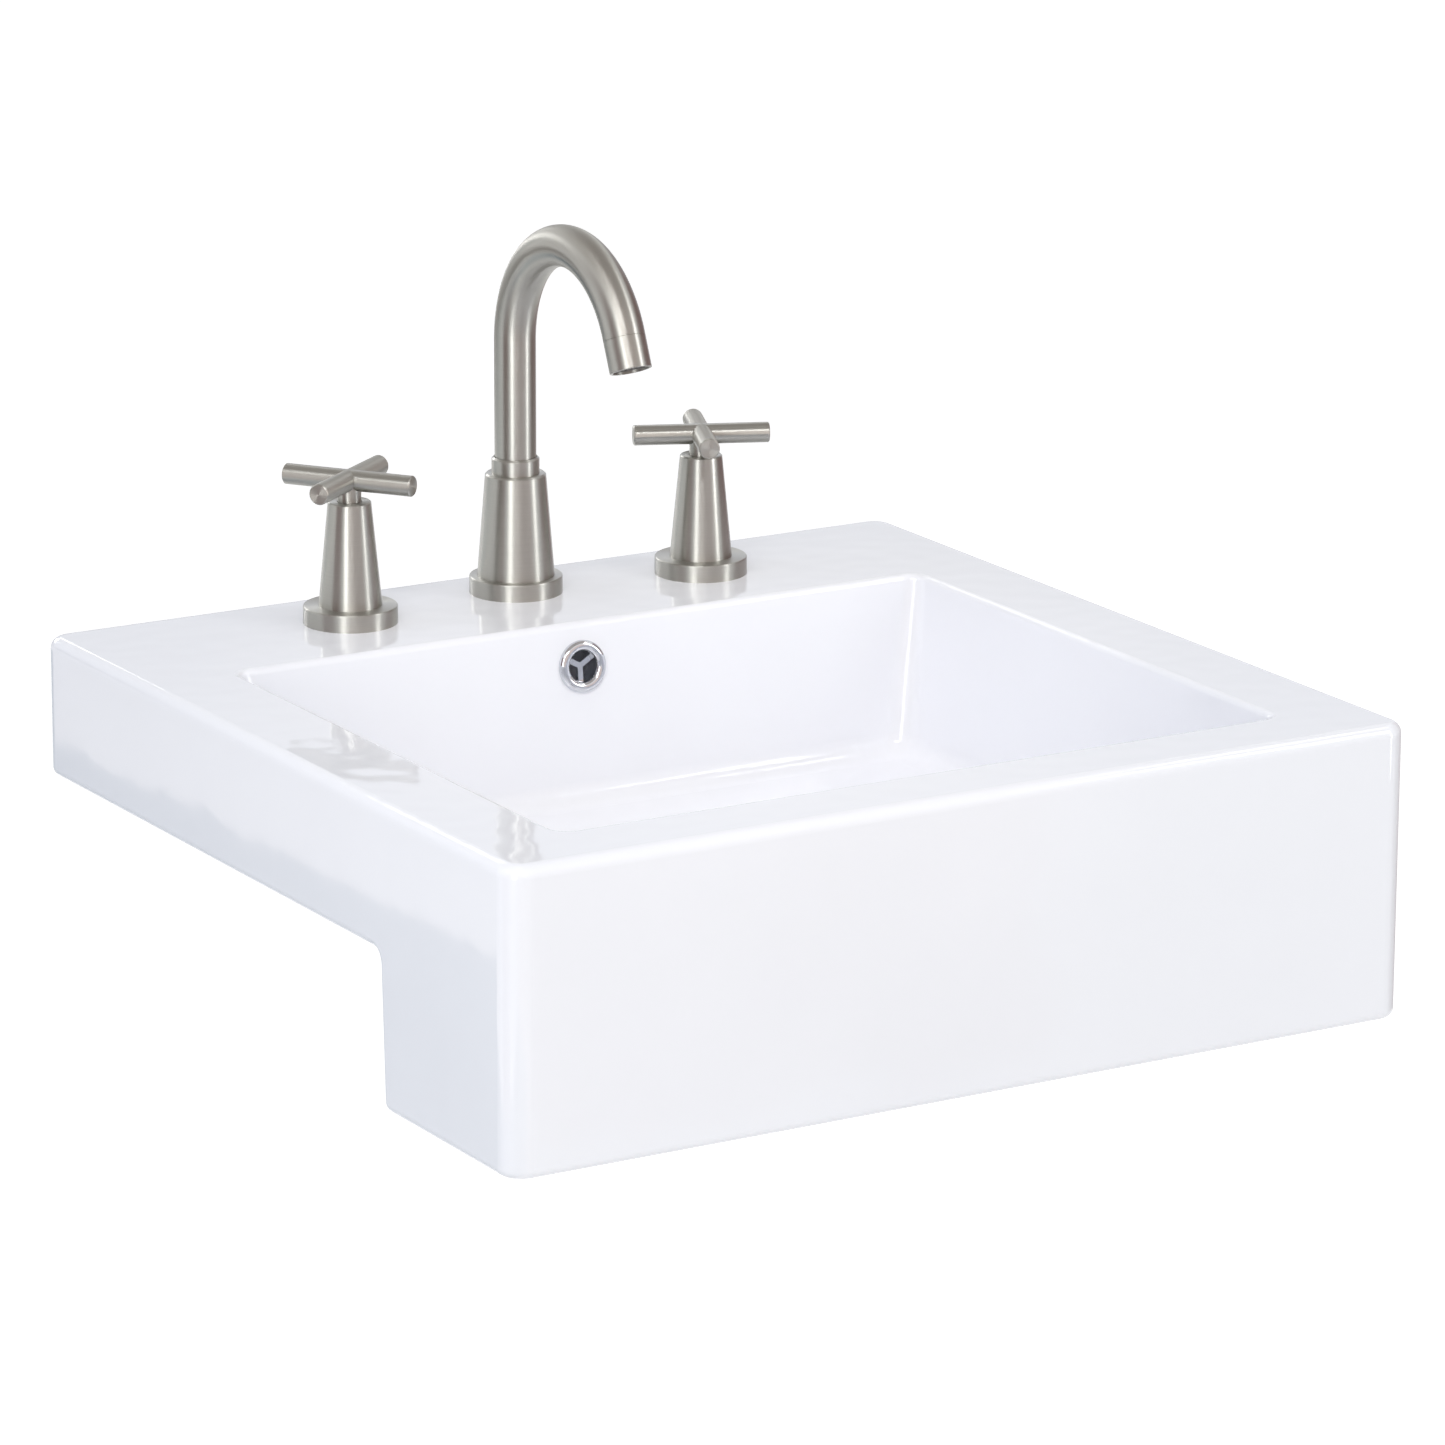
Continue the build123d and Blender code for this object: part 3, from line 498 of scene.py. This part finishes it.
# %% Spout tube
deck = 71 * MM
spout_y = 231 * MM
tube_radius = 10.6 * MM
tube_wall = 2.2 * MM
tube_bore = tube_radius - tube_wall
tube_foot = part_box("spout_tube")[0].z
bend_radius = 57 * MM
bend_level = deck + 131.1 * MM
bend_angle = 157  # degrees
bend_steps = 96
tip_length = 1.2 * MM

bend_centre = Vector((0, spout_y - bend_radius, bend_level))
path = [(Vector((0, spout_y, tube_foot)), Vector((0, 0, 1)))]
for k in range(bend_steps + 1):
    t = math.radians(bend_angle) * k / bend_steps
    out = Vector((0, math.cos(t), math.sin(t)))
    path.append((bend_centre + out * bend_radius, Vector((0, -math.sin(t), math.cos(t)))))
bend_end, tip_way = path[-1]
tube_end = bend_end + tip_way * tip_length
path.append((tube_end, tip_way))
side = Vector((1, 0, 0))
outside = [(point, side, way.cross(side), tube_radius) for point, way in path]
inside = [(point, side, way.cross(side), tube_bore) for point, way in reversed(path)]
spout_skin = skin_of_rings("spout_tube_skin", outside + inside, closed=True)
print("spout tube ends at mm:", [round(v / MM, 1) for v in tube_end])

# %% Aerator shell
aerator_length = 16.5 * MM
aerator_edge = 0.2 * MM
plug_depth = 3 * MM
bore_radius = 5 * MM
core_radius = 9 * MM
washer_foot = 6.5 * MM

profile = [
    (bore_radius, -plug_depth), (tube_bore, -plug_depth), (tube_bore, 0),
    (tube_radius - aerator_edge, 0), (tube_radius, aerator_edge),
    (tube_radius, aerator_length - aerator_edge), (tube_radius - aerator_edge, aerator_length),
    (core_radius, aerator_length), (core_radius, washer_foot), (bore_radius, washer_foot),
]
aerator_rows = turned_rows(tube_end, tip_way, profile)
aerator_skin = skin_of_rings("aerator_shell_skin", aerator_rows, closed=True)
print("aerator faces:", len(aerator_skin.data.polygons))

# %% [markdown]
# ## The cross handles
# A cross handle is two bars and a neck, brazed together and brushed. Its CAD surface has no map
# for the brushing, so the three pieces are strung from rings as well, each with its own map, and
# joined with the boolean modifier, which keeps the maps. A last boolean drills the hole of the set
# screw from behind.

# %% Cross handles
bar_radius = 5.3 * MM
bar_half = 35 * MM
bar_edge = 0.6 * MM
bar_height = deck + 72.8 * MM
neck_radius = 6 * MM
screw_radius = 1.75 * MM
screw_height = deck + 64.7 * MM
screw_seat = 4 * MM
handle_line = 218.5 * MM
handle_half = 101.6 * MM
hot_turn, cold_turn = 36.5, 66.5  # degrees from the basin's width to a handle's first bar


def cross_handle(name, x, turn):
    """Join two bars and a neck into one handle, and drill the hole of its set screw."""
    middle = Vector((x, handle_line, bar_height))
    screw_centre = Vector((x, handle_line, screw_height))
    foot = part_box(name + "_cross_handle")[0].z - bar_height
    bar = [
        (0, -bar_half), (bar_radius - bar_edge, -bar_half), (bar_radius, -bar_half + bar_edge),
        (bar_radius, bar_half - bar_edge), (bar_radius - bar_edge, bar_half), (0, bar_half),
    ]
    neck = [(0, foot), (neck_radius, foot), (neck_radius, 0), (0, 0)]
    hole = [(0, screw_seat), (screw_radius, screw_seat),
            (screw_radius, 2 * neck_radius), (0, 2 * neck_radius)]
    a = math.radians(turn)
    first = Vector((math.cos(a), math.sin(a), 0))
    second = Vector((-math.sin(a), math.cos(a), 0))
    made = skin_of_rings(name + "_cross_skin", turned_rows(middle, first, bar), closed=False)
    others = [
        (turned_rows(middle, second, bar), "UNION"),
        (turned_rows(middle, Vector((0, 0, 1)), neck), "UNION"),
        (turned_rows(screw_centre, Vector((0, 1, 0)), hole), "DIFFERENCE"),
    ]
    helpers = []
    for rows, operation in others:
        helpers.append(skin_of_rings("helper", rows, closed=False))
        cut = made.modifiers.new(operation.lower(), "BOOLEAN")
        cut.operation, cut.object, cut.solver = operation, helpers[-1], "EXACT"
    graph = bpy.context.evaluated_depsgraph_get()
    joined = bpy.data.meshes.new_from_object(made.evaluated_get(graph))
    made.modifiers.clear()
    made.data = joined
    joined.set_sharp_from_angle(angle=sharp_angle)
    for helper in helpers:
        bpy.data.objects.remove(helper)
    return made


hot_skin = cross_handle("hot", -handle_half, hot_turn)
cold_skin = cross_handle("cold", handle_half, cold_turn)
print("handle faces:", len(hot_skin.data.polygons), len(cold_skin.data.polygons))

# %% [markdown]
# ## Put the rebuilt pieces in place
# Each rebuilt piece takes the place of its CAD node, moves with the same body, and is given the
# drawn brushed nickel. It must also fill the same box, so the difference between the two boxes is
# printed.

# %% Put the rebuilt pieces in place
rebuilt = [
    (spout_skin, "spout_tube", "spout"), (aerator_skin, "aerator_shell", "spout"),
    (hot_skin, "hot_cross_handle", "hot_handle"), (cold_skin, "cold_cross_handle", "cold_handle"),
]
for piece, node, body_name in rebuilt:
    piece.data.materials.clear()
    piece.data.materials.append(nickel_drawn)
    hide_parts(node)
    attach(piece, body_name)
    box_low, box_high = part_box(node)
    low = Vector([min(v.co[i] for v in piece.data.vertices) for i in range(3)])
    high = Vector([max(v.co[i] for v in piece.data.vertices) for i in range(3)])
    off = max((low - box_low).length, (high - box_high).length)
    print(node, "differs from its CAD box by mm:", round(off / MM, 2))

# %% [markdown]
# ## The studio
# A catalogue picture of a basin is taken in a white room, with a few lamps and grey flags that
# only shape the reflections. This studio is built the same way. The floor lies where a bathroom
# floor is, below the counter, and the world is the white room. The camera, mirrors and glass see
# both as pure white. The basin is lit by a gentler level of the same white, because china under a
# full white would have no shading left. From below, the floor is clear, so that the fittings under
# the deck can be looked at.

# %% Floor
floor_drop = 0.85
floor_span = 40.0
floor_lift = 0.6
paint_roughness = 0.9


def seen_directly(tree):
    """Return 1 on rays from the camera, mirrors or glass, and 0 on rays that carry soft light."""
    ray = add(tree, "LightPath").outputs
    mirrored = {"Value": ray["Is Glossy Ray"], "Value_001": ray["Is Transmission Ray"]}
    passed_on = add(tree, "Math", mirrored, operation="MAXIMUM")
    either = {"Value": ray["Is Camera Ray"], "Value_001": passed_on}
    return add(tree, "Math", either, operation="MAXIMUM")


bpy.ops.mesh.primitive_plane_add(size=floor_span, location=(0, 0, -floor_drop))
floor = bpy.context.object
floor.name = "floor"
floor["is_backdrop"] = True
# Matt paint gives the eye an even white without a highlight. A glow lifts it to the room's white.
paint, tree = new_material("matt_floor_paint")
matt = add(tree, "BsdfPrincipled", {"Base Color": colour("F2F2F2"), "Roughness": paint_roughness})
lift = add(tree, "Math", {"Value": seen_directly(tree), "Value_001": floor_lift},
           operation="MULTIPLY")
glow = add(tree, "Emission", {"Strength": lift})
lit = add(tree, "AddShader", {"Shader": matt, "Shader_001": glow})
below = add(tree, "NewGeometry").outputs["Backfacing"]
clear = add(tree, "BsdfTransparent")
floor_look = add(tree, "MixShader", {"Fac": below, "Shader": lit, "Shader_001": clear})
add(tree, "OutputMaterial", {"Surface": floor_look})
floor.data.materials.append(paint)
print("floor in mm:", -floor_drop / MM)

# %% White room
room_level = 0.468

room = bpy.data.worlds.new("white_room")
bpy.context.scene.world = room
room.use_nodes = True
tree = room.node_tree
tree.nodes.clear()
soft = add(tree, "Background", {"Color": colour("FFFFFF"), "Strength": room_level})
white = add(tree, "Background", {"Color": colour("FFFFFF"), "Strength": 1.0})
room_look = add(tree, "MixShader",
                {"Fac": seen_directly(tree), "Shader": soft, "Shader_001": white})
add(tree, "OutputWorld", {"Surface": room_look})
print("room level:", room_level)

# %% [markdown]
# ## Lamps
# Round metal shows a lamp as a line, so two lamps are tall strips: one on each side of the camera
# gives each cone and the spout its two bright lines. A low, wide box above the camera does the
# same for the level handle bars. Two large soft boxes, one above and one on the left, only fill:
# they brighten the china and are hidden from the metal. The left one is a little blue, as daylight
# is. Each lamp is placed by compass direction from the basin, measured as the camera's own
# direction is.

# %% Lamps
studio_middle = Vector((0, 0.15, 0.1))  # what the lamps and the cards face


def direction(azimuth, elevation):
    """Return the way from the basin to a place that many degrees round and up."""
    a, e = math.radians(azimuth), math.radians(elevation)
    return Vector((math.sin(a) * math.cos(e), -math.cos(a) * math.cos(e), math.sin(e)))


def stand(made, middle, azimuth, elevation, distance):
    """Put a lamp or a card round a middle point and turn it to face that point."""
    bpy.context.scene.collection.objects.link(made)
    back = direction(azimuth, elevation)
    made.location = middle + back * distance
    made.rotation_mode = "QUATERNION"
    made.rotation_quaternion = back.to_track_quat("Z", "Y")
    made.visible_camera = False


def softbox(name, azimuth, elevation, distance, size, watts, code="FFFFFF", mirrored=True):
    """Add a rectangular lamp, which can be tinted and hidden from reflections."""
    lamp = bpy.data.lights.new(name, "AREA")
    lamp.shape = "RECTANGLE"
    lamp.size, lamp.size_y = size
    lamp.energy = watts
    lamp.color = colour(code)[:3]
    made = bpy.data.objects.new(name, lamp)
    made.visible_glossy = mirrored
    stand(made, studio_middle, azimuth, elevation, distance)


# Each line gives a name, degrees round and up, metres away, width and height in metres, and watts.
softbox("left_strip", -48, 13, 2.0, (0.48, 2.04), 13.5)
softbox("right_strip", 41.5, 12, 2.0, (0.26, 1.95), 9.5)
softbox("front_box", -30, 40, 2.2, (0.8, 0.3), 6)
softbox("top_fill", 0, 80, 2.2, (1.2, 1.2), 9.3, mirrored=False)
softbox("left_fill", -105, 25, 2.2, (1.5, 1.2), 5, code="D0DEFF", mirrored=False)
print("soft boxes:", len(bpy.data.lights))

# %% [markdown]
# ## The lamp for the bowl
# The bowl is a pit, and it would be the darkest place of all in soft light. A brighter room would
# wash out the rest of the china. So a narrow spot with a soft edge looks down into the bowl. It is
# a little warm, and hidden from reflections.

# %% Bowl lamp
bowl_back = Vector((0.03, 0.09, 0.03))  # the lamp's aim, low on the bowl's back
bowl_watts = 23
bowl_cone = math.radians(14)
bowl_fade = 0.8
bowl_lamp_radius = 0.06

bowl_lamp = bpy.data.lights.new("bowl_lamp", "SPOT")
bowl_lamp.energy = bowl_watts
bowl_lamp.color = colour("FFF4E4")[:3]
bowl_lamp.shadow_soft_size = bowl_lamp_radius
bowl_lamp.spot_size = bowl_cone
bowl_lamp.spot_blend = bowl_fade
bowl_spot = bpy.data.objects.new("bowl_lamp", bowl_lamp)
bowl_spot.visible_glossy = False
stand(bowl_spot, bowl_back, azimuth=-30, elevation=44, distance=2.2)
print("bowl lamp in watts:", bowl_watts)

# %% [markdown]
# ## Cards that only show in reflections
# In a room that is white all round, polished metal looks flat. Photographers stand grey cards just
# outside the picture, and the metal takes its dark bands from them. Here the cards are planes with
# an even glow, which only mirror-like rays can see, so they shape the reflections and neither
# light nor shade anything else. Flags darken the two sides of upright metal. The ceiling and a
# flag high behind the basin darken what looks up: the tops of the bars and of the bend. The front
# and back cards are the walls that the metal and the level china mirror. White strips draw lines:
# those behind the basin along the rim and the spout's bend, one above the camera along the handle
# bars, and one high on the right on the shoulders of round metal. Two cards lie flat: one darkens
# the foot of the left wall, and one the underside of the bend.

# %% Cards
paper_size = 50 * MM
paper_drift = 0.05


def card(name, code, strength, corners):
    """Add a flat card from its corners, as a reflection of one colour."""
    # Card paper gives the eye one even tone with a faint drift, and only in a mirror.
    finish, tree = new_material("card_paper_" + name)
    place = add(tree, "TexCoord").outputs["Object"]
    paper = add(tree, "TexNoise", {"Vector": place, "Scale": 1 / paper_size})
    dim, bright = (1 - paper_drift) * strength, (1 + paper_drift) * strength
    level = add(tree, "MapRange", {"Value": paper, "To Min": dim, "To Max": bright})
    glow = add(tree, "Emission", {"Color": colour(code), "Strength": level})
    add(tree, "OutputMaterial", {"Surface": glow})
    data = bpy.data.meshes.new(name)
    data.from_pydata(corners, [], [range(len(corners))])
    data.materials.append(finish)
    made = bpy.data.objects.new(name, data)
    made.visible_camera = made.visible_diffuse = made.visible_shadow = False
    made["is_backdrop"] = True
    return made


def standing_card(name, code, strength, azimuth, elevation, distance, size):
    """Add a card that stands round the basin and faces it."""
    w, h = size[0] / 2, size[1] / 2
    made = card(name, code, strength, [(-w, -h, 0), (w, -h, 0), (w, h, 0), (-w, h, 0)])
    stand(made, studio_middle, azimuth, elevation, distance)


def lying_card(name, code, level, corners):
    """Add a card that lies flat at one level, from its corners in X and Y."""
    made = card(name, code, strength=1.0, corners=[(x, y, level) for x, y in corners])
    bpy.context.scene.collection.objects.link(made)


# Each line gives a name, a tone, its strength, degrees round and up, metres away, width and height.
standing_card("left_flag", "9E8886", 1.0, -84, 0, 2.3, (1.3, 3.0))
standing_card("right_flag", "9E8886", 1.0, 92, 0, 2.3, (2.6, 3.0))
standing_card("front_card", "F2E1DB", 1.0, -3, 0, 2.3, (3.0, 3.0))
standing_card("back_card", "EEF0F6", 1.0, 155, 8, 2.3, (3.6, 1.3))
standing_card("ceiling_card", "BCB6B2", 1.0, 0, 90, 1.7, (3.2, 3.2))
standing_card("back_strip", "FFFFFF", 3.0, 178, 36, 2.25, (1.0, 0.14))
standing_card("spout_strip", "FFFFFF", 5.5, -172, 18, 2.2, (0.7, 0.45))
standing_card("bend_strip", "FFFFFF", 4.0, 176, 21, 2.2, (0.7, 0.2))
standing_card("back_flag", "A09C9A", 1.0, 180, 58, 2.1, (2.6, 0.7))
standing_card("bar_strip", "FFFFFF", 13.0, -30, 40, 2.1, (0.76, 0.24))
standing_card("shoulder_strip", "FFFFFF", 5.0, 69, 49.5, 2.0, (0.43, 0.21))
# Each of these gives a name, a tone, a level in metres and four corners.
lying_card("side_card", "708E9E", -0.15,
           [(-0.558, -0.6), (-0.255, -0.6), (-0.255, 1.3), (-0.486, 1.3)])
lying_card("spout_card", "8A8684", 0.1, [(-0.8, 0.5), (0.1, 0.5), (0.1, 1.3), (-0.8, 1.3)])
papers = [made.name for made in bpy.data.materials if made.name.startswith("card_paper_")]
print("cards:", len(papers))

# %% [markdown]
# ## The camera
# The camera stands a little left of the basin and looks slightly down on it. Its place was worked
# out by laying the outline of the solids over the outline in a picture of 1445 pixels, so the
# focal length is known in pixels and is turned into millimetres of a common sensor width. The tilt
# about the line of sight is under half a degree.

# %% Camera
# Angles are in degrees and the distance is in metres.
camera_azimuth = -30.832
camera_elevation = 15.37
camera_roll = 0.212
camera_distance = 3.54691
focal_pixels = 7262.8
picture_pixels = 1445
sensor = 36.0
aim = Vector((0, 35, -4.25)) * MM
aim_right = 4.671 * MM
aim_up = 50.798 * MM

a, r = math.radians(camera_azimuth), math.radians(camera_roll)
back = direction(camera_azimuth, camera_elevation)
right = Vector((math.cos(a), math.sin(a), 0))
up = back.cross(right)
target = aim + right * aim_right + up * aim_up
tilted_right = right * math.cos(r) + up * math.sin(r)
turned = Matrix((tilted_right, back.cross(tilted_right), back)).transposed()
camera_data = bpy.data.cameras.new("catalogue_camera")
camera_data.sensor_width = sensor
camera_data.lens = focal_pixels * sensor / picture_pixels
camera = bpy.data.objects.new("catalogue_camera", camera_data)
bpy.context.scene.collection.objects.link(camera)
camera.matrix_world = Matrix.Translation(target + back * camera_distance) @ turned.to_4x4()
bpy.context.scene.camera = camera
bpy.context.scene.view_settings.view_transform = "Standard"
print("lens in mm:", round(camera_data.lens, 1))
print("camera at m:", [round(v, 3) for v in camera.location])

# %% [markdown]
# ## Sizes and the finish
# The finishes and the rebuilt pieces must not change the basin's size, so the box of what is now in
# the scene is measured.

# %% Finish
low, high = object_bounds()
